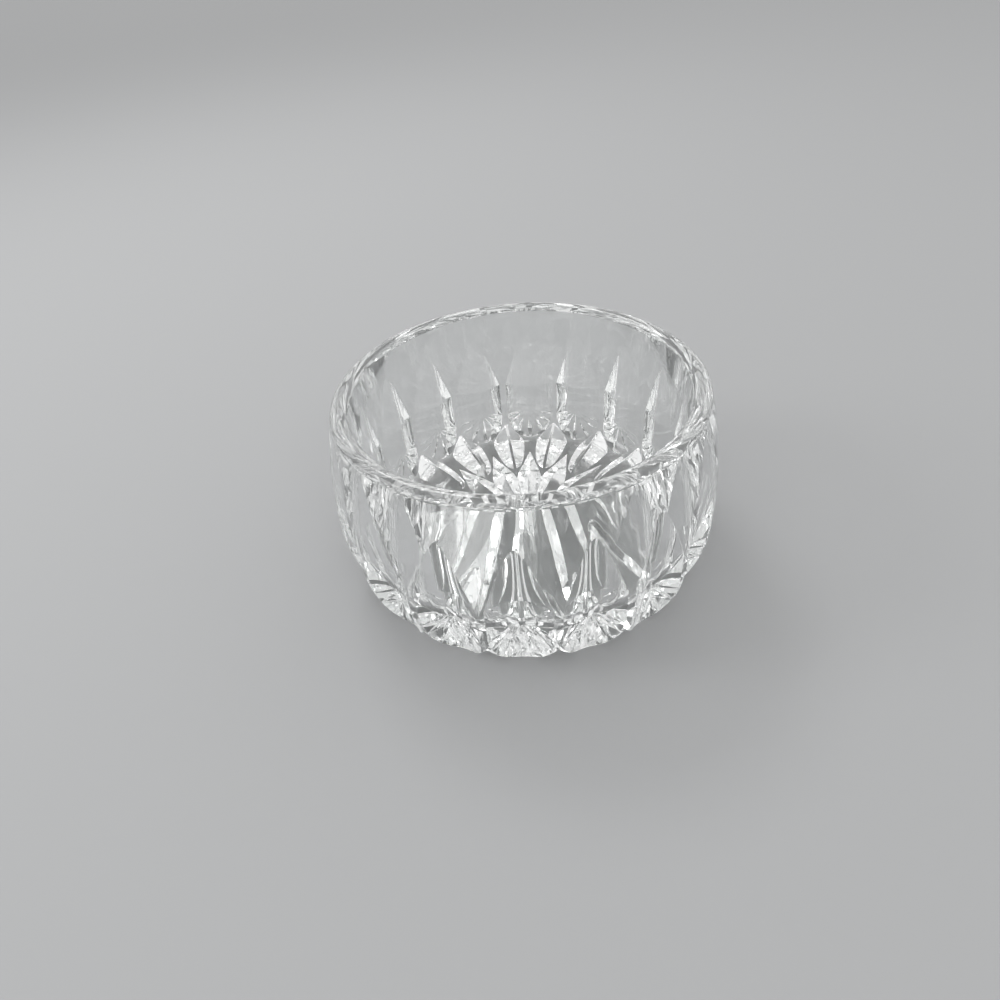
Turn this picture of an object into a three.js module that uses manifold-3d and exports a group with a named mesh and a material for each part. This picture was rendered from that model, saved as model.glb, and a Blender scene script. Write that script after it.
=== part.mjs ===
// A round cut-glass candy dish: one heavy piece of clear glass with a plain rounded rim, a swelling wall cut with
// upright pointed flutes, a scalloped foot cut with fans, and a star on the underside.
// Millimetres, +Z up, the origin on the table under the middle of the dish. A flute faces -Y.

import * as THREE from "three";
import { ConvexGeometry } from "three/addons/geometries/ConvexGeometry.js";
import { mergeVertices } from "three/addons/utils/BufferGeometryUtils.js";
import Module from "manifold-3d";

const wasm = await Module();
wasm.setup();

// Sizes of the round body

const height = 60;
const rimRadius = 55; // outside of the rim
const rimWidth = 5.4; // thickness of the glass at the rim
const rimRise = 2.2; // height of the rounding on top of the rim
const bellyRadius = 59.3; // widest part of the body
const bellyHeight = 24;
const bellyPower = 2.2; // how late the wall turns in towards the rim
const heelRadius = 50; // the wall curves in to this at the table
const floorThickness = 10;
const innerTaper = 0.8; // the inside is this much narrower just above its floor than at the rim
const innerCorner = 9; // rounding between the floor and the wall inside

// Sizes of the cuts

const repeats = 18; // flutes around the wall, lobes of the foot and points of the star
const fluteTop = 46.5; // a flute runs out in the wall at this height
const fluteBend = 27; // below this height a flute is at its full depth
const fluteDepth = 4.4;
const flutePower = 1.2; // how late a flute deepens below its tip
const fluteSlope = 0.7; // how steep the two sides of a flute are, measured across it
const fluteRound = 3.1; // how far the bottom of a flute is rounded
const footHeight = 18; // the flutes end here in an edge, with the foot below
const footRadius = 54.2; // outside of the foot on the table
const footFade = 0.5; // share of a flute's hollow that is gone at the table
const fanRays = 7; // grooves of the fan on each lobe
const fanSpread = 21 * Math.PI / 180; // angle between two grooves of a fan
const fanFlare = 2.2; // half width of a fan groove for each millimetre of its depth
const fanStart = 0.06; // share of the way down the lobe where a fan groove starts
const fanEnd = 0.96; // and where it ends
const notchStart = 31; // a notch between two lobes starts at this radius on the underside
const notchEnd = 57; // its ridge is an arc that is level here
const notchDepth = 8; // height of the ridge where it is level
const notchFlare = 0.72; // half width of a notch for each millimetre of its depth
const starTip = 41; // radius of the points of the star
const starWide = 26; // radius where a point of the star is widest
const starDepth = 3.5;
const starFlare = 1.3; // half width of a star groove for each millimetre of its depth

// Fineness of the surfaces

const bodySides = 4 * repeats;
const heelRows = 4;
const wallRows = 6;
const rimRows = 6;
const cornerRows = 4;
const fluteColumns = 8;
const fluteRows = 6;
const footRows = 3;
const notchRows = 3;
const weldDistance = 1e-5; // corners closer than this are one corner

// Values that follow

const rimEdge = height - rimRise; // height where the rounding of the rim starts
const innerRim = rimRadius - rimWidth;
const step = 2 * Math.PI / repeats;
const margin = 4; // a cutter reaches this far past the dish
const widening = 1.25; // a flute cutter is wider than its step by this factor
const lift = 1.5; // a fan cutter is this many times as high as its groove is deep

// A closed three.js geometry as a Manifold solid.
function solid(geometry) {
  geometry.deleteAttribute("normal");
  geometry.deleteAttribute("uv");
  const merged = mergeVertices(geometry, weldDistance);
  return new wasm.Manifold(new wasm.Mesh({
    numProp: 3,
    vertProperties: new Float32Array(merged.attributes.position.array),
    triVerts: new Uint32Array(merged.index.array),
  }));
}

// A Manifold solid as a three.js geometry.
function geometryOf(manifold) {
  const mesh = manifold.getMesh();
  const geometry = new THREE.BufferGeometry();
  geometry.setAttribute("position", new THREE.BufferAttribute(new Float32Array(mesh.vertProperties), 3));
  geometry.setIndex(new THREE.BufferAttribute(new Uint32Array(mesh.triVerts), 1));
  geometry.computeVertexNormals();
  return geometry;
}

// The dish with one cutter, made facing +Y, taken out in every place around the axis. The first place is at -Y,
// or a share of a step past it.
function cutAround(dish, cutter, firstStep) {
  let cut = dish;
  for (let k = 0; k < repeats; k += 1) {
    const turned = cutter.clone().rotateZ(Math.PI + (firstStep + k) * step);
    cut = cut.subtract(solid(turned));
  }
  return cut;
}

// Outside radius of the body at a height, before the cuts.
function wallRadius(z) {
  if (z > bellyHeight) {
    const climb = (z - bellyHeight) / (rimEdge - bellyHeight);
    return bellyRadius - (bellyRadius - rimRadius) * climb ** bellyPower;
  }
  const drop = Math.min((bellyHeight - z) / bellyHeight, 1);
  return heelRadius + (bellyRadius - heelRadius) * Math.sqrt(1 - drop ** 2);
}

function bodyProfile() {
  const profile = [new THREE.Vector2(0, 0)];
  for (let i = 0; i < heelRows; i += 1) {
    const z = bellyHeight * (1 - Math.cos(Math.PI / 2 * i / heelRows));
    profile.push(new THREE.Vector2(wallRadius(z), z));
  }
  for (let i = 0; i <= wallRows; i += 1) {
    const z = bellyHeight + (rimEdge - bellyHeight) * i / wallRows;
    profile.push(new THREE.Vector2(wallRadius(z), z));
  }
  for (let i = 1; i <= rimRows; i += 1) {
    const turn = Math.PI * i / rimRows;
    const across = rimRadius - rimWidth / 2 + rimWidth / 2 * Math.cos(turn);
    profile.push(new THREE.Vector2(across, rimEdge + rimRise * Math.sin(turn)));
  }
  for (let i = 0; i <= cornerRows; i += 1) {
    const turn = Math.PI / 2 * i / cornerRows;
    const across = innerRim - innerTaper - innerCorner + innerCorner * Math.cos(turn);
    profile.push(new THREE.Vector2(across, floorThickness + innerCorner - innerCorner * Math.sin(turn)));
  }
  profile.push(new THREE.Vector2(0, floorThickness));
  return profile;
}

function body() {
  const lathe = new THREE.LatheGeometry(bodyProfile(), bodySides);
  lathe.rotateX(Math.PI / 2);
  return solid(lathe);
}

// Distance from the axis of a flute, or of the lobe below it, at a place across and up. Across it is a valley with a
// rounded bottom, and down the lobe part of that valley fades away.
function faceRadius(x, z) {
  const upper = Math.max(z, footHeight);
  const below = (fluteTop - upper) / (fluteTop - fluteBend);
  const hollow = fluteDepth * Math.sign(below) * Math.min(Math.abs(below), 1) ** flutePower;
  const fallen = (upper - z) / footHeight;
  const swell = footRadius - wallRadius(footHeight) + fluteDepth;
  const valley = Math.hypot(fluteSlope * x, fluteRound) - fluteRound;
  return wallRadius(upper) - hollow + swell * fallen + valley * (1 - footFade * fallen);
}

// A block outside the dish, with its inner face shaped as the flute and the lobe under it.
function fluteCutter() {
  const rows = footRows + fluteRows;
  const halfWidth = widening * bellyRadius * step / 2;
  const block = new THREE.BoxGeometry(2, 2, rows, fluteColumns, 1, rows);
  const position = block.attributes.position;
  const below = -margin;
  const above = fluteTop + margin;
  for (let i = 0; i < position.count; i += 1) {
    const x = position.getX(i) * halfWidth;
    const row = position.getZ(i) + rows / 2;
    const z = row <= footRows
      ? below + (footHeight - below) * row / footRows
      : footHeight + (above - footHeight) * (row - footRows) / fluteRows;
    const y = position.getY(i) < 0 ? faceRadius(x, z) : bellyRadius + margin;
    position.setXYZ(i, x, y, z);
  }
  return block;
}

// One groove of the fan on a lobe: a long leaf, deepest half way, from the middle of the foot's upper edge
// out to the edge of the lobe.
function fanGroove(ray) {
  const angle = ray * fanSpread;
  const lobeHalf = bellyRadius * Math.sin(step / 2);
  const reach = 1 / Math.hypot(Math.cos(angle) / footHeight, Math.sin(angle) / lobeHalf);
  const half = reach / 2 * Math.tan(fanSpread / 2);
  const onFace = (along, across) => {
    const x = along * Math.sin(angle) + across * Math.cos(angle);
    const z = footHeight - along * Math.cos(angle) + across * Math.sin(angle);
    return new THREE.Vector3(x, faceRadius(x, z), z);
  };
  const crease = onFace(reach / 2, 0);
  crease.y -= half / fanFlare;
  const points = [crease];
  const rims = [
    onFace(fanStart * reach, 0),
    onFace(fanEnd * reach, 0),
    onFace(reach / 2, half),
    onFace(reach / 2, -half),
  ];
  for (const rim of rims) {
    points.push(rim.sub(crease).multiplyScalar(lift).add(crease));
  }
  return new ConvexGeometry(points);
}

// A groove with a V section, cut from below. Each station is a distance from the axis and a depth there.
function grooveFromBelow(stations, flare) {
  const points = [];
  for (const [radius, depth] of stations) {
    const half = (depth + margin) * flare;
    points.push(new THREE.Vector3(0, radius, depth));
    points.push(new THREE.Vector3(half, radius, -margin));
    points.push(new THREE.Vector3(-half, radius, -margin));
  }
  return new ConvexGeometry(points);
}

function starGroove() {
  return grooveFromBelow([[0, starDepth], [starWide, starDepth], [starTip, 0]], starFlare);
}

// The ridge of a notch is the arc that a wheel leaves.
function notch() {
  const stations = [];
  for (let i = 0; i <= notchRows; i += 1) {
    const turn = Math.PI / 2 * i / notchRows;
    stations.push([notchEnd - (notchEnd - notchStart) * Math.cos(turn), notchDepth * Math.sin(turn)]);
  }
  stations.push([bellyRadius + margin, notchDepth]);
  return grooveFromBelow(stations, notchFlare);
}

// The part

const glass = new THREE.MeshStandardMaterial({ name: "glass", color: 0xdfe9e6, roughness: 0.05, metalness: 0 });

let dish = body();
dish = cutAround(dish, fluteCutter(), 0);
for (let ray = 0; ray < fanRays; ray += 1) {
  dish = cutAround(dish, fanGroove(ray - (fanRays - 1) / 2), 0);
}
dish = cutAround(dish, notch(), 0.5);
dish = cutAround(dish, starGroove(), 0);

const bowl = new THREE.Mesh(geometryOf(dish), glass);
bowl.name = "bowl";

const part = new THREE.Group();
part.name = "candy_dish";
part.add(bowl);

export default part;
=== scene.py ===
# %% [markdown]
# # A cut-glass candy dish
#
# This dish is one heavy piece of clear glass. On the real one a round blank comes out of a mould, and a
# wheel then cuts the flutes in the wall, the foot, the fans on the foot and the star underneath. This
# script goes the same way: it turns a blank, cuts it with shapes that repeat around the axis, and
# polishes it with a glass material. Every object is in metres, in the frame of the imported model, which is
# +Z up with the origin on the table.

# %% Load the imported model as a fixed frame
import math

import bmesh
import bpy
from mathutils import Matrix, Vector


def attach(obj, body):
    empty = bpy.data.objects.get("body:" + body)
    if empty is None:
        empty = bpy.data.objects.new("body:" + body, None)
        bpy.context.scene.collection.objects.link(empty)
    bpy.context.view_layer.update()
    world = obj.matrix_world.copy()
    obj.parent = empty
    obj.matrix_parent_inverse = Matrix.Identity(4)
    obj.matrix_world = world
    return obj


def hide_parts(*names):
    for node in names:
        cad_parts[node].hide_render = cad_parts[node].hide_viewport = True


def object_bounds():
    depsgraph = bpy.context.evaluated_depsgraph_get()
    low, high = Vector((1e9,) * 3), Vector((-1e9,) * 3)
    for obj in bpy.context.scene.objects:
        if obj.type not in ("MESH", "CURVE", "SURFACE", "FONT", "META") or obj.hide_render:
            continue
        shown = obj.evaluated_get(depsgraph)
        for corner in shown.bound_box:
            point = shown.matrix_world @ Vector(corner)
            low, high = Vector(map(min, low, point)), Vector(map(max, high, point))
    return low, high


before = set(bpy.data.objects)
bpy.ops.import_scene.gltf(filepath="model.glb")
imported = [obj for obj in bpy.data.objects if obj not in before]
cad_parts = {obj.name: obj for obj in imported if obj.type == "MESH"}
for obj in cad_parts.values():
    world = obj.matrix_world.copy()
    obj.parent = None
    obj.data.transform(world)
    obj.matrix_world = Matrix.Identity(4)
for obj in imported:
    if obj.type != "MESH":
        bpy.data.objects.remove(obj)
bpy.context.view_layer.update()
cad_low, cad_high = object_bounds()
print("packed model from", tuple(cad_low), "to", tuple(cad_high))

# %% [markdown]
# ## Sizes
#
# All sizes are in millimetres, as a glass cutter would note them, and the finished mesh is scaled to
# metres at the end. The height comes from the frame. The others are the driving sizes of the packed
# solid, apart from a few that only clear glass shows: here the flutes reach a millimetre higher and are
# rounder along their bottom, the foot is drawn in a little more at the table, the grooves of the fans are
# narrower, and a notch has a narrow flat along its crease.

# %% Sizes of the round body
MM = 0.001
height = cad_high.z / MM
rim_radius = 55  # outside of the rim
rim_width = 5.4  # thickness of the glass at the rim
rim_rise = 2.2  # height of the rounding on top of the rim
belly_radius = 59.3  # widest part of the body
belly_height = 24
belly_power = 2.2  # how late the wall turns in towards the rim
heel_radius = 50  # the wall curves in to this at the table
floor_thickness = 10
inner_taper = 0.8  # the inside is this much narrower just above its floor than at the rim
inner_corner = 9  # rounding between the floor and the wall inside
rim_edge = height - rim_rise  # height where the rounding of the rim starts
inner_rim = rim_radius - rim_width
print("height", round(height, 2), "mm, rim", 2 * rim_radius, "mm across")

# %% Sizes of the flutes and the foot
repeats = 18  # flutes around the wall, lobes of the foot and points of the star
step = 2 * math.pi / repeats
flute_top = 47.5  # a flute runs out in the wall at this height
flute_bend = 27  # below this height a flute is at its full depth
flute_depth = 4.4
flute_power = 1.2  # how late a flute deepens below its tip
flute_slope = 0.7  # how steep the two sides of a flute are, measured across it
flute_round = 3.6  # how far the bottom of a flute is rounded
foot_height = 18  # the flutes end here in an edge, with the foot below
foot_radius = 52.2  # outside of the foot on the table
print(repeats, "flutes,", round(math.degrees(step)), "degrees apart")

# %% Sizes of the fans, the notches and the star
fan_rays = 7  # grooves of the fan on each lobe
fan_spread = math.radians(21)  # angle between two grooves of a fan
fan_flare = 2.2  # half width of a fan groove for each millimetre of its depth
fan_share = 0.6  # share of the room between two grooves that a groove fills
fan_start = 0.06  # share of the way down the lobe where a fan groove starts
fan_end = 0.96  # and where it ends
notch_start = 31  # a notch between two lobes starts at this radius on the underside
notch_end = 57  # its ridge is an arc that is level here
notch_depth = 8  # height of the ridge where it is level
notch_flare = 0.72  # half width of a notch for each millimetre of its depth
notch_width = 0.9  # width of the flat along the crease of a notch
star_tip = 41  # radius of the points of the star
star_wide = 26  # radius where a point of the star is widest
star_depth = 3.5
star_flare = 1.3  # half width of a star groove for each millimetre of its depth
print(repeats * fan_rays, "fan grooves")

# %% [markdown]
# ## Fineness
#
# The surfaces have many more rows and columns than the solid has, because clear glass shows every facet
# twice, once on its skin and once through it. The rows are still few enough to keep the mesh under a
# hundred thousand triangles.

# %% Rows and columns
body_sides = 16 * repeats
wall_rows = 26
heel_rows = 24
rim_rows = 20
corner_rows = 16
flute_columns = 24
flute_rows = 26
foot_rows = 16
leaf_rows = 8
notch_rows = 24
ray_rows = 10
print(body_sides, "sides round the blank")

# %% [markdown]
# ## Sums that work on numbers and on nodes
#
# The outline of the wall is needed twice: as plain numbers, to turn the blank, and as math nodes, where
# the foot of a cutter has to meet that same wall. Two versions of the formula could drift apart, so a
# small class lets one formula do both. Adding or multiplying a Term makes the math node for it.


# %% A number in a node tree
class Term:
    """A number in a node tree that adds, multiplies and takes powers as a plain number does."""

    def __init__(self, tree, socket):
        self.tree = tree
        self.socket = socket

    def made(self, operation, *others):
        """The result of a math node with this term as its first input."""
        node = self.tree.nodes.new("ShaderNodeMath")
        node.operation = operation
        for slot, value in zip(node.inputs, (self, *others)):
            self.tree.feed(slot, value)
        return Term(self.tree, node.outputs[0])

    def __add__(self, other):
        return self.made("ADD", other)

    __radd__ = __add__

    def __mul__(self, other):
        return self.made("MULTIPLY", other)

    __rmul__ = __mul__

    def __neg__(self):
        return self * -1

    def __sub__(self, other):
        return self.made("SUBTRACT", other)

    def __rsub__(self, other):
        return -self + other

    def __truediv__(self, other):
        return self.made("DIVIDE", other)

    def __pow__(self, other):
        return self.made("POWER", other)


# %% Outside of the wall
def highest(value, limit):
    """The higher of two values, of which the first may be a term of a node tree."""
    return value.made("MAXIMUM", limit) if isinstance(value, Term) else max(value, limit)


def wall_radius(z):
    """Outside radius of the blank at a height: an ellipse below the belly, and a slower curve above it."""
    climb = highest((z - belly_height) / (rim_edge - belly_height), 0)
    drop = highest((belly_height - z) / belly_height, 0)
    narrow = (belly_radius - rim_radius) * climb ** belly_power
    return heel_radius + (belly_radius - heel_radius) * highest(1 - drop ** 2, 0) ** 0.5 - narrow


print("wall radius half way up", round(wall_radius(height / 2), 2), "mm")

# %% [markdown]
# ## The blank
#
# The blank is a round body with its hollow already in it. It could be a curve with a Screw modifier, but
# rings of points in plain mesh code give exactly the rows that the later cuts need, and close at both
# poles without doubles. The outline runs from the middle of the underside, up the wall, over the rounded
# rim and down the inside.


# %% Outline of the blank
def blank_outline():
    """Radius and height of each ring, from the underside round to the floor inside, without poles."""
    rings = []
    for i in range(heel_rows):
        z = belly_height * (1 - math.cos(math.pi / 2 * i / heel_rows))
        rings.append((wall_radius(z), z))
    for i in range(wall_rows + 1):
        z = belly_height + (rim_edge - belly_height) * i / wall_rows
        rings.append((wall_radius(z), z))
    for i in range(1, rim_rows + 1):
        turn = math.pi * i / rim_rows
        across = rim_radius - rim_width / 2 + rim_width / 2 * math.cos(turn)
        rings.append((across, rim_edge + rim_rise * math.sin(turn)))
    for i in range(corner_rows + 1):
        turn = math.pi / 2 * i / corner_rows
        across = inner_rim - inner_taper - inner_corner + inner_corner * math.cos(turn)
        rings.append((across, floor_thickness + inner_corner * (1 - math.sin(turn))))
    return rings


outline = blank_outline()
print("outline:", len(outline), "rings")


# %% Turn the blank
def turned_mesh(name, rings, sides):
    """A closed mesh of rings around the axis, with a point on the axis at each end."""
    points = [(0, 0, rings[0][1])]
    for radius, z in rings:
        for k in range(sides):
            turn = 2 * math.pi * k / sides
            points.append((radius * math.cos(turn), radius * math.sin(turn), z))
    points.append((0, 0, rings[-1][1]))
    last = len(points) - 1
    faces = []
    for k in range(sides):
        beside = (k + 1) % sides
        faces.append((0, 1 + beside, 1 + k))
        for ring in range(len(rings) - 1):
            low = 1 + ring * sides
            faces.append((low + k, low + beside, low + sides + beside, low + sides + k))
        faces.append((last, last - sides + k, last - sides + beside))
    mesh = bpy.data.meshes.new(name)
    mesh.from_pydata(points, [], faces)
    return mesh


bowl = bpy.data.objects.new("cut_glass_bowl", turned_mesh("cut_glass_bowl", outline, body_sides))
bpy.context.scene.collection.objects.link(bowl)
print("blank:", len(bowl.data.polygons), "faces")

# %% [markdown]
# ## The cuts
#
# Each kind of cut repeats once for every flute, so Geometry Nodes make them. A tree makes one cutter from
# a box of many small faces, bends it with sums of its own positions, and puts a copy at each place round
# the axis. Mesh Boolean then takes them all out of the blank at once. Modelling one cut by hand and
# spinning it would look alike, but here a single named input changes the depth or the number of every
# cut.


# %% A node tree with named inputs
class Cutting:
    """A geometry tree, with the small helpers that the cutters below share."""

    def __init__(self, name):
        self.group = bpy.data.node_groups.new(name, "GeometryNodeTree")
        self.nodes = self.group.nodes
        self.group.interface.new_socket("Geometry", in_out="INPUT", socket_type="NodeSocketGeometry")
        self.group.interface.new_socket("Geometry", in_out="OUTPUT", socket_type="NodeSocketGeometry")
        self.entry = self.nodes.new("NodeGroupInput")
        self.exit = self.nodes.new("NodeGroupOutput")
        self.values = {}

    def number(self, name, value, whole=False):
        """A named input of the tree, as a term."""
        kind = "NodeSocketInt" if whole else "NodeSocketFloat"
        socket = self.group.interface.new_socket(name, in_out="INPUT", socket_type=kind)
        self.values[socket.identifier] = value
        return Term(self, self.entry.outputs[name])

    def feed(self, slot, value):
        """Links a term or a socket to a slot, or sets a plain value there."""
        if isinstance(value, Term):
            value = value.socket
        if isinstance(value, bpy.types.NodeSocket):
            self.group.links.new(value, slot)
        else:
            slot.default_value = value

    def add(self, kind, **inputs):
        """A node with its inputs fed, each by its name with low lines for spaces."""
        node = self.nodes.new(kind)
        for name, value in inputs.items():
            self.feed(node.inputs[name.replace("_", " ")], value)
        return node


# %% A cutter, and its copies round the axis
def cutter(tree, columns, rows, place):
    """A closed block bent to a shape by place, which gives x, y and z for each corner of a box.

    It is told how far the corner is across, from -1 to 1, and how far out and along, from 0 to 1.
    """
    box = tree.add(
        "GeometryNodeMeshCube",
        Size=(2, 1, 1),
        Vertices_X=columns + 1,
        Vertices_Y=2,
        Vertices_Z=rows + 1,
    )
    corner = tree.add("ShaderNodeSeparateXYZ", Vector=tree.add("GeometryNodeInputPosition").outputs[0])
    across, out, along = (Term(tree, socket) for socket in corner.outputs)
    x, y, z = place(across, out + 0.5, along + 0.5)
    spot = tree.add("ShaderNodeCombineXYZ", X=x, Y=y, Z=z)
    bent = tree.add("GeometryNodeSetPosition", Geometry=box.outputs["Mesh"], Position=spot.outputs[0])
    return bent.outputs[0]


def around(tree, count, pieces, first):
    """A copy of each piece, made facing +Y, at every step round the axis. first is a share of a step."""
    turn = Term(tree, tree.add("GeometryNodeInputIndex").outputs[0]) + first
    angle = turn * (2 * math.pi) / count + math.pi
    rotation = tree.add("ShaderNodeCombineXYZ", X=0, Y=0, Z=angle)
    points = tree.add("GeometryNodePoints", Count=count, Position=(0, 0, 0))
    copies = []
    for piece in pieces:
        put = tree.add(
            "GeometryNodeInstanceOnPoints",
            Points=points.outputs[0],
            Instance=piece,
            Rotation=rotation.outputs[0],
        )
        copies.append(put.outputs[0])
    return copies


# %% [markdown]
# ### Flutes
#
# A flute is the long pointed hollow that a wheel leaves when it comes in from the side. Across it is a
# valley with a rounded bottom, and where two valleys meet they leave a ridge. Below the flute the same
# valley runs on outwards down the foot. One cutter makes both, so that the edge between them is a single
# line. A bent box is chosen over a cylinder, because its depth can follow any formula, and a tip that
# runs out slowly needs one.

# %% The flutes, and the outer face of the foot below them
margin = 4  # a cutter reaches this far past the blank
widening = 1.25  # a flute cutter is wider than its step by this factor
below_table = 0.3  # the rows of the foot start this far below the table, as a share of the way up it

tree = Cutting("cuts round the bowl")
count = tree.number("Flutes", repeats, whole=True)
depth_of_flute = tree.number("Flute depth", flute_depth)
top_of_flute = tree.number("Flute top", flute_top)
slope_of_flute = tree.number("Flute side slope", flute_slope)
round_of_flute = tree.number("Flute rounding", flute_round)
height_of_foot = tree.number("Foot height", foot_height)
radius_of_foot = tree.number("Foot radius", foot_radius)


def face_radius(x, z):
    """How far the flute, or the lobe of the foot below it, is from the axis at a place across and up."""
    upper = z.made("MAXIMUM", height_of_foot)
    below = (top_of_flute - upper) / (top_of_flute - flute_bend)
    share = below.made("ABSOLUTE").made("MINIMUM", 1)
    hollow = depth_of_flute * below.made("SIGN") * share ** flute_power
    fallen = (upper - z) / height_of_foot
    swell = radius_of_foot - wall_radius(height_of_foot) + depth_of_flute
    sides = x * slope_of_flute
    valley = (sides * sides + round_of_flute * round_of_flute).made("SQRT") - round_of_flute
    return wall_radius(upper) - hollow + swell * fallen + valley


def flute_place(across, out, along):
    """The place of a corner of the flute cutter, whose rows crowd towards the table."""
    share = foot_rows / (foot_rows + flute_rows)
    low = (along / share).made("MINIMUM", 1) * (1 + below_table) - below_table
    high = ((along - share) / (1 - share)).made("MAXIMUM", 0)
    x = across * (widening * belly_radius * step / 2)
    z = low * low.made("ABSOLUTE") * height_of_foot + (top_of_flute + margin - height_of_foot) * high
    inner = face_radius(x, z)
    return x, inner + (belly_radius + margin - inner) * out, z


flutes = around(tree, count, [cutter(tree, flute_columns, foot_rows + flute_rows, flute_place)], 0)
print("flute cutter:", flute_columns, "by", foot_rows + flute_rows, "faces")

# %% [markdown]
# ### Fans
#
# Each lobe of the foot carries a fan of seven short cuts that spread from the middle of its upper edge.
# They catch the light as a sparkling shell. They could be a bump in the material, but then they would be
# missing from the outline of the foot and from its reflections inside the glass, so they are real
# grooves. Each one is a long leaf with a V section, bent on to the face of the lobe by the same formula
# that made the lobe.

# %% The fan of leaf cuts on each lobe of the foot
leaf_lift = 0.8  # a leaf cutter stands this far out of the face
crease_width = 0.02  # width of the flat that closes the crease of a V groove
lobe_half = belly_radius * math.sin(step / 2)


def leaf_place(angle):
    """The place of a leaf cut: a long V groove, deepest half way, that leans by an angle down the lobe."""
    reach = 1 / math.hypot(math.cos(angle) / foot_height, math.sin(angle) / lobe_half)
    deepest = fan_share * reach / 2 * math.tan(fan_spread / 2) / fan_flare

    def place(across, out, along):
        way = (along * (fan_end - fan_start) + fan_start) * reach
        depth = along * (1 - along) * (4 * deepest)
        half = (depth + leaf_lift) * fan_flare * out + crease_width / 2
        side = -across * half
        x = way * math.sin(angle) + side * math.cos(angle)
        z = height_of_foot - way * math.cos(angle) + side * math.sin(angle)
        return x, face_radius(x, z) - depth * (1 - out) + leaf_lift * out, z

    return place


leaves = []
for ray in range(fan_rays):
    angle = (ray - (fan_rays - 1) / 2) * fan_spread
    leaves.append(cutter(tree, 1, leaf_rows, leaf_place(angle)))
fans = around(tree, count, leaves, 0)
print(len(leaves), "leaf cuts on each lobe")

# %% [markdown]
# ### Notches and star
#
# From below, a wheel cuts a notch between every two lobes, and a long ray under each lobe. Through the
# floor of the dish the notches show as petals with a dark crease, and the rays as a star. Both are V
# grooves, so one helper places them, and a formula for the height of the ridge tells them apart: an arc
# for the notch, as a wheel leaves it, and a straight line that runs out for the ray.

# %% The notches between the lobes, and the star underneath
depth_of_star = tree.number("Star depth", star_depth)
depth_of_notch = tree.number("Notch depth", notch_depth)


def groove_place(start, end, depth_at, flare, width):
    """The place of a V groove from below, between two distances from the axis."""

    def place(across, out, along):
        radius = along * (end - start) + start
        depth = depth_at(radius)
        half = (depth + margin) * flare * (1 - out) + width / 2
        return -across * half, radius, (depth + margin) * out - margin

    return place


def notch_line(radius):
    """Height of the ridge of a notch, which is the arc that a wheel leaves."""
    inwards = (notch_end - radius) / (notch_end - notch_start)
    return depth_of_notch * (1 - inwards * inwards).made("MAXIMUM", 0) ** 0.5


def ray_depth(radius):
    """Height of the ridge of a ray of the star, level near the axis and running out towards its tip."""
    share = ((star_tip - radius) / (star_tip - star_wide)).made("MINIMUM", 1)
    return depth_of_star * share


notch_place = groove_place(notch_start, belly_radius + margin, notch_line, notch_flare, notch_width)
ray_place = groove_place(0, star_tip, ray_depth, star_flare, crease_width)
notches = around(tree, count, [cutter(tree, 1, notch_rows, notch_place)], 0.5)
star = around(tree, count, [cutter(tree, 1, ray_rows, ray_place)], 0)
print("tree:", len(tree.nodes), "nodes")

# %% [markdown]
# ### Cutting
#
# Mesh Boolean takes every cutter out of the blank. Its Manifold solver is exact enough for nearly two
# hundred cutters that cross each other, and it marks the edges that it made, which are the crisp lines of
# cut glass. Points that all but touch are welded, the mesh is scaled to metres, and the result becomes a
# plain mesh, because the modifier has to be gone before the bowl is placed in the frame.

# %% Take the cuts out of the blank
weld_distance = 0.0005  # points closer than this are one point

solver = tree.nodes.new("GeometryNodeMeshBoolean")
solver.operation = "DIFFERENCE"
solver.solver = "MANIFOLD"
tree.feed(solver.inputs["Mesh 1"], tree.entry.outputs["Geometry"])
for copies in flutes + fans + notches + star:
    tree.feed(solver.inputs["Mesh 2"], copies)
marked = tree.add("GeometryNodeStoreNamedAttribute", Geometry=solver.outputs["Mesh"], Name="cut_line")
marked.data_type = "BOOLEAN"
marked.domain = "EDGE"
tree.feed(marked.inputs["Value"], solver.outputs["Intersecting Edges"])
welded = tree.add("GeometryNodeMergeByDistance", Geometry=marked.outputs[0], Distance=weld_distance)
scaled = tree.add("GeometryNodeTransform", Geometry=welded.outputs[0], Scale=(MM, MM, MM))
whole = tree.add("GeometryNodeRealizeInstances", Geometry=scaled.outputs[0])
dressed = tree.add("GeometryNodeSetMaterial", Geometry=whole.outputs[0])
tree.feed(tree.exit.inputs["Geometry"], dressed.outputs[0])

glass = bpy.data.materials.new("clear cut glass")
glass.use_nodes = True
dressed.inputs["Material"].default_value = glass
print("cutters joined in one Mesh Boolean:", len(solver.inputs["Mesh 2"].links))

# %% Turn the result into a plain mesh
cuts = bowl.modifiers.new("cuts", "NODES")
cuts.node_group = tree.group
for identifier, value in tree.values.items():
    cuts[identifier] = value
evaluated = bowl.evaluated_get(bpy.context.evaluated_depsgraph_get())
finished = bpy.data.meshes.new_from_object(evaluated)
bowl.modifiers.remove(cuts)
bowl.data = finished
print("bowl:", len(finished.vertices), "points,", len(finished.polygons), "faces")

# %% [markdown]
# ## Sharp and smooth
#
# Where two cuts meet, real cut glass has a crisp line, and everywhere else its skin is a smooth curve.
# All faces are shaded smooth here, and the edges that Mesh Boolean made, with any other edge that bends
# by more than a few degrees, are marked sharp. One angle for everything would lose the shallow tips of
# the flutes.

# %% Smooth faces and sharp cut lines
crease_angle = math.radians(9)
finished.shade_smooth()
sharp = finished.attributes.new("sharp_edge", "BOOLEAN", "EDGE")
lines = [item.value for item in finished.attributes["cut_line"].data]
bends = bmesh.new()
bends.from_mesh(finished)
for edge in bends.edges:
    sharp.data[edge.index].value = lines[edge.index] or edge.calc_face_angle(0) > crease_angle
bends.free()
print("cut lines:", sum(lines), "sharp edges:", sum(item.value for item in sharp.data))

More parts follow.
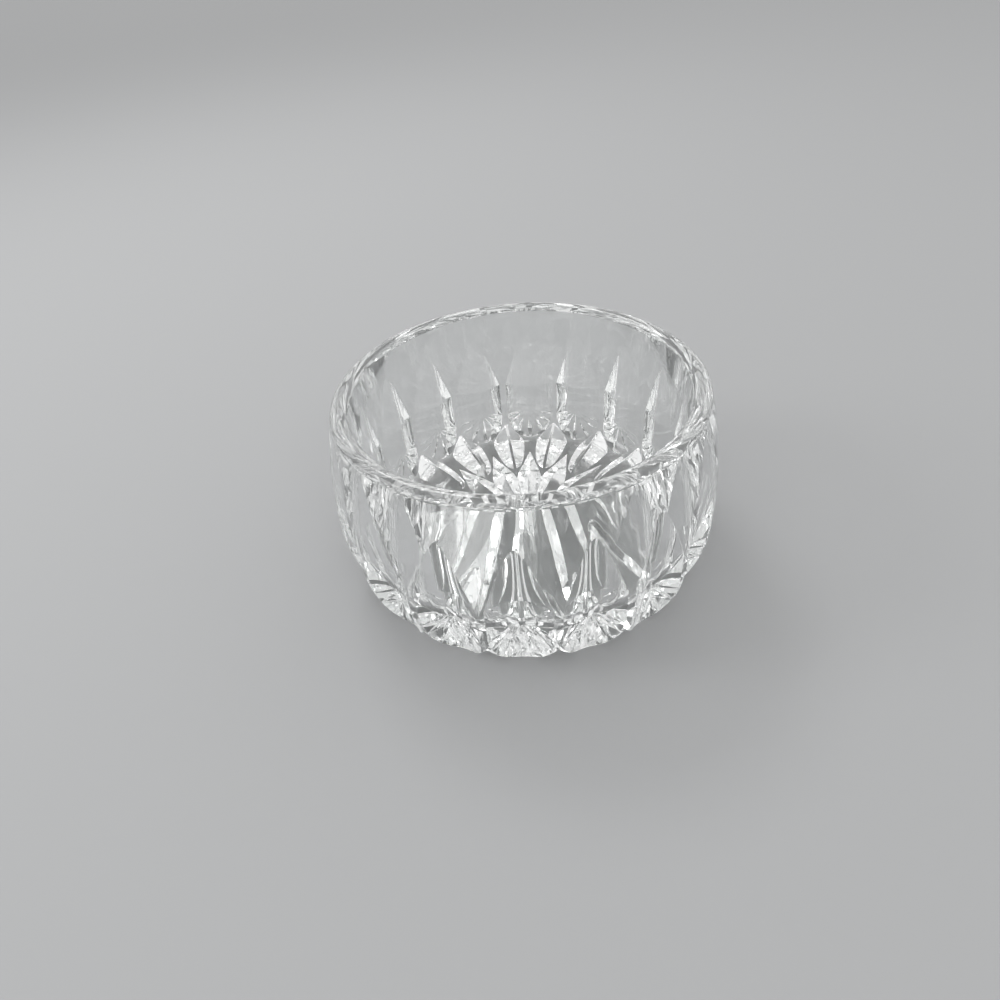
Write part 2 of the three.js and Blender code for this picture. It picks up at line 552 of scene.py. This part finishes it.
# %% [markdown]
# ## The skin of the glass
#
# The surface isn't flawless: it has slow waves all over, faint upright streaks in the wall, and a little
# mottling where the foot is cut. All three are far shallower than a mesh could show, so they are noise in
# a Bump node, each with its height in millimetres. The crisp cut lines are polished too: a Bevel node
# rounds them by a fraction of a millimetre, only in the shading, which gives each line its thin bright
# edge.

# %% Heights of the skin in millimetres
glass_nodes = glass.node_tree.nodes
glass_links = glass.node_tree.links
spot_in_bowl = glass_nodes.new("ShaderNodeTexCoord").outputs["Object"]


def wavy(scale, stretch, height_mm, detail):
    """Noise of a height in millimetres. scale counts waves in a metre, along each axis times stretch."""
    squeeze = glass_nodes.new("ShaderNodeMapping")
    squeeze.inputs["Scale"].default_value = stretch
    noise = glass_nodes.new("ShaderNodeTexNoise")
    noise.inputs["Scale"].default_value = scale
    noise.inputs["Detail"].default_value = detail
    level = glass_nodes.new("ShaderNodeMath")
    level.operation = "MULTIPLY"
    level.inputs[1].default_value = 2 * height_mm
    glass_links.new(spot_in_bowl, squeeze.inputs["Vector"])
    glass_links.new(squeeze.outputs["Vector"], noise.inputs["Vector"])
    glass_links.new(noise.outputs["Fac"], level.inputs[0])
    return level.outputs[0]


def joined(operation, first, second):
    """The result of a math node on two sockets."""
    node = glass_nodes.new("ShaderNodeMath")
    node.operation = operation
    glass_links.new(first, node.inputs[0])
    glass_links.new(second, node.inputs[1])
    return node.outputs[0]


waves = wavy(scale=110, stretch=(1, 1, 0.6), height_mm=0.03, detail=1)
streaks = wavy(scale=500, stretch=(1, 1, 0.06), height_mm=0.004, detail=1)
mottles = wavy(scale=750, stretch=(1, 1, 1), height_mm=0.012, detail=2)
print("skin: waves, streaks and mottles")

# %% Only the foot is mottled
mottles_none = 20 * MM  # no mottles above this height
mottles_full = 6 * MM  # and all of them below this one
up_the_bowl = glass_nodes.new("ShaderNodeSeparateXYZ")
foot_share = glass_nodes.new("ShaderNodeMapRange")
foot_share.inputs["From Min"].default_value = mottles_none
foot_share.inputs["From Max"].default_value = mottles_full
glass_links.new(spot_in_bowl, up_the_bowl.inputs[0])
glass_links.new(up_the_bowl.outputs["Z"], foot_share.inputs["Value"])
foot_mottles = joined("MULTIPLY", mottles, foot_share.outputs[0])
skin_height = joined("ADD", joined("ADD", waves, streaks), foot_mottles)
print("mottles fade out", mottles_none / MM, "mm up")

# %% Rounded cut lines, then the skin on top
polish_radius = 0.3 * MM
polish_samples = 4
surface = glass_nodes["Principled BSDF"]
edges = glass_nodes.new("ShaderNodeBevel")
edges.samples = polish_samples
edges.inputs["Radius"].default_value = polish_radius
skin = glass_nodes.new("ShaderNodeBump")
skin.inputs["Strength"].default_value = 1
skin.inputs["Distance"].default_value = MM
glass_links.new(skin_height, skin.inputs["Height"])
glass_links.new(edges.outputs["Normal"], skin.inputs["Normal"])
glass_links.new(skin.outputs["Normal"], surface.inputs["Normal"])
print("cut lines rounded by", polish_radius / MM, "mm")

# %% [markdown]
# ## The glass
#
# Heavy clear glass is one Principled surface with full transmission, no roughness, and the high
# refraction of crystal. A Glass BSDF would do the same, but Principled is what an exported model keeps.
# The trace of green in its colour is what a thick piece of clear glass has.

# %% Material of the glass
surface.inputs["Base Color"].default_value = (0.98, 0.99, 0.985, 1)
surface.inputs["Transmission Weight"].default_value = 1
surface.inputs["IOR"].default_value = 1.545
surface.inputs["Roughness"].default_value = 0
print("glass with a refractive index of", round(surface.inputs["IOR"].default_value, 3))

# %% [markdown]
# ## Place in the frame
#
# The finished bowl takes the place of the plain solid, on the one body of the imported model. Its mesh
# already lies where it belongs, so the object stays at the origin.

# %% Place the bowl in the frame
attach(bowl, "root")
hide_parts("bowl")
print("bowl placed at", tuple(bowl.location))

# %% [markdown]
# ## Floor
#
# A photographer would stand clear glass on a sheet of plain paper. Here it is one large pale square with
# a matt material. It lies a hair below the glass, because two surfaces in exactly the same place leave
# dark marks where the renderer can't tell them apart. It isn't part of the dish.

# %% Floor
floor_half = 6
floor_gap = 0.4 * MM
floor_mesh = bpy.data.meshes.new("floor")
corner_signs = ((-1, -1), (1, -1), (1, 1), (-1, 1))
floor_corners = [(x * floor_half, y * floor_half, -floor_gap) for x, y in corner_signs]
floor_mesh.from_pydata(floor_corners, [], [(0, 1, 2, 3)])
floor = bpy.data.objects.new("floor", floor_mesh)
bpy.context.scene.collection.objects.link(floor)
paper = bpy.data.materials.new("pale paper")
paper.use_nodes = True
paper.node_tree.nodes["Principled BSDF"].inputs["Base Color"].default_value = (0.45, 0.455, 0.46, 1)
paper.node_tree.nodes["Principled BSDF"].inputs["Roughness"].default_value = 0.9
floor_mesh.materials.append(paper)
print("floor", 2 * floor_half, "metres square")

# %% [markdown]
# ## Lamps
#
# Three soft boxes give the glass its highlights: one overhead and behind, one on the left, and a weaker
# one behind the camera. A lamp's shape shows in glass as a bright patch, so they are small rectangles
# rather than one large one. Most of the light on the floor comes from the world, and these only add to
# it.


# %% Lamps
def soft_box(name, spot, width, length, power):
    """A rectangular lamp that faces the middle of the dish. Metres and watts."""
    lamp = bpy.data.lights.new(name, "AREA")
    lamp.shape = "RECTANGLE"
    lamp.size = width
    lamp.size_y = length
    lamp.energy = power
    holder = bpy.data.objects.new(name, lamp)
    holder.location = spot
    holder.rotation_euler = (middle_of_dish - Vector(spot)).to_track_quat("-Z", "Y").to_euler()
    bpy.context.scene.collection.objects.link(holder)
    print(name, "lamp:", power, "W")


middle_of_dish = Vector((0, 0, 0.03))
soft_box("overhead", (-0.3, 0.5, 0.8), 0.35, 0.25, 1.6)
soft_box("left side", (-0.8, -0.1, 0.5), 0.3, 0.4, 1.45)
soft_box("behind the camera", (0.5, -0.9, 0.8), 0.25, 0.25, 0.6)

# %% [markdown]
# ## World
#
# Clear glass has no look of its own and shows what stands around it. Here that is a dome, white at the
# horizon and a little greyer above, as a white tent with light from the side would be. The white horizon
# is what fills the points of the flutes with light. An image of a real studio could do this, but a colour
# ramp on the height of each direction needs no file and stays plain.

# %% World
dome_stops = ((0, 0.98), (0.4, 0.85), (1, 0.75))  # height of a direction, and the grey there
world = bpy.data.worlds.new("studio")
bpy.context.scene.world = world
world.use_nodes = True
world_nodes = world.node_tree.nodes
world_links = world.node_tree.links
direction = world_nodes.new("ShaderNodeTexCoord")
parts = world_nodes.new("ShaderNodeSeparateXYZ")
dome = world_nodes.new("ShaderNodeValToRGB")
world_links.new(direction.outputs["Generated"], parts.inputs[0])
world_links.new(parts.outputs["Z"], dome.inputs["Fac"])
world_links.new(dome.outputs["Color"], world_nodes["Background"].inputs["Color"])
stops = dome.color_ramp.elements
stops.new(dome_stops[1][0])
for stop, (position, grey) in zip(stops, dome_stops):
    stop.position = position
    stop.color = (grey, grey, grey, 1)
bpy.context.scene.view_settings.view_transform = "Standard"
print("dome from", dome_stops[0][1], "at the horizon to", dome_stops[-1][1], "overhead")

# %% [markdown]
# ## Bounces
#
# Light that enters a cut foot is reflected from facet to facet many times before it finds a way out. A
# path that runs out of bounces turns black, and with the usual limits the deepest facets would be black
# specks. Higher limits let nearly every path end in the floor or the dome.

# %% Bounces
light_paths = bpy.context.scene.cycles
light_paths.max_bounces = 32
light_paths.glossy_bounces = 24
light_paths.transmission_bounces = 32
print("up to", light_paths.max_bounces, "bounces")

# %% [markdown]
# ## Camera
#
# The photograph was taken from close by and above the rim, with the dish near the middle, on a camera held
# slightly askew. The place, aim and roll were fitted to the outline of the dish and its rim. The near
# clipping distance is short because the camera stands only a quarter of a metre away.

# %% Camera
camera_spot = Vector((12.6, -186.7, 170.4)) * MM
camera_aim = Vector((-10.75, 19.18, 0)) * MM
camera_roll = math.radians(-5.63)
focal_share = 0.74  # focal length as a share of the sensor's width
sensor_width = 36
camera_data = bpy.data.cameras.new("camera")
camera_data.sensor_width = sensor_width
camera_data.lens = sensor_width * focal_share
camera_data.clip_start = 0.01
camera = bpy.data.objects.new("camera", camera_data)
look = (camera_aim - camera_spot).to_track_quat("-Z", "Y").to_matrix().to_4x4()
camera.matrix_world = Matrix.Translation(camera_spot) @ look @ Matrix.Rotation(camera_roll, 4, "Z")
bpy.context.scene.collection.objects.link(camera)
bpy.context.scene.camera = camera
print("camera", round(camera_spot.length / MM), "mm from the middle of the dish")

# %% [markdown]
# ## Update the scene
#
# Last, the view layer is brought up to date, so that every object stands where it was put.

# %% Update the scene
bpy.context.view_layer.update()
